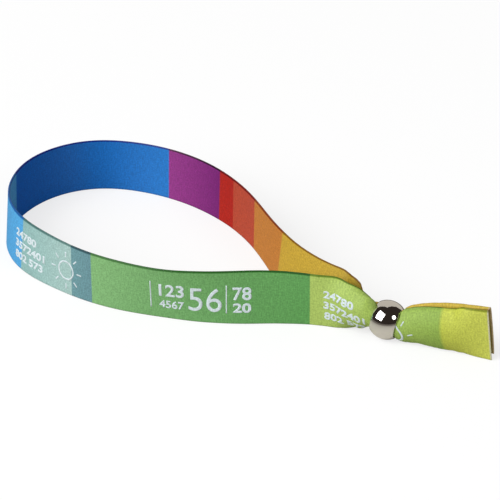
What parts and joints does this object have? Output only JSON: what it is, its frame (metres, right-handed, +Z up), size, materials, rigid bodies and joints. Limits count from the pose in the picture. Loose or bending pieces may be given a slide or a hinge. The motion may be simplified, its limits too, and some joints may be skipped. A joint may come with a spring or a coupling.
{
  "type": "fabric wristband",
  "caption": "Woven satin event wristband standing as a teardrop loop, its gathered ends drawn through a round metal bead and left as short tails.",
  "frame": {"origin": "middle of the band's box, at the level of the surface it stands on", "axes": "+X along the bead's axis seen from above, from the loop towards the tails; +Z up, across the ribbon"},
  "size_m": [0.1476, 0.0678, 0.0157],
  "materials": {
    "ribbon_satin": "printed woven satin",
    "bead_metal": "polished plating"
  },
  "bodies": {
    "root": {"ribbon": "ribbon_satin", "bead": "bead_metal"}
  },
  "joints": []
}
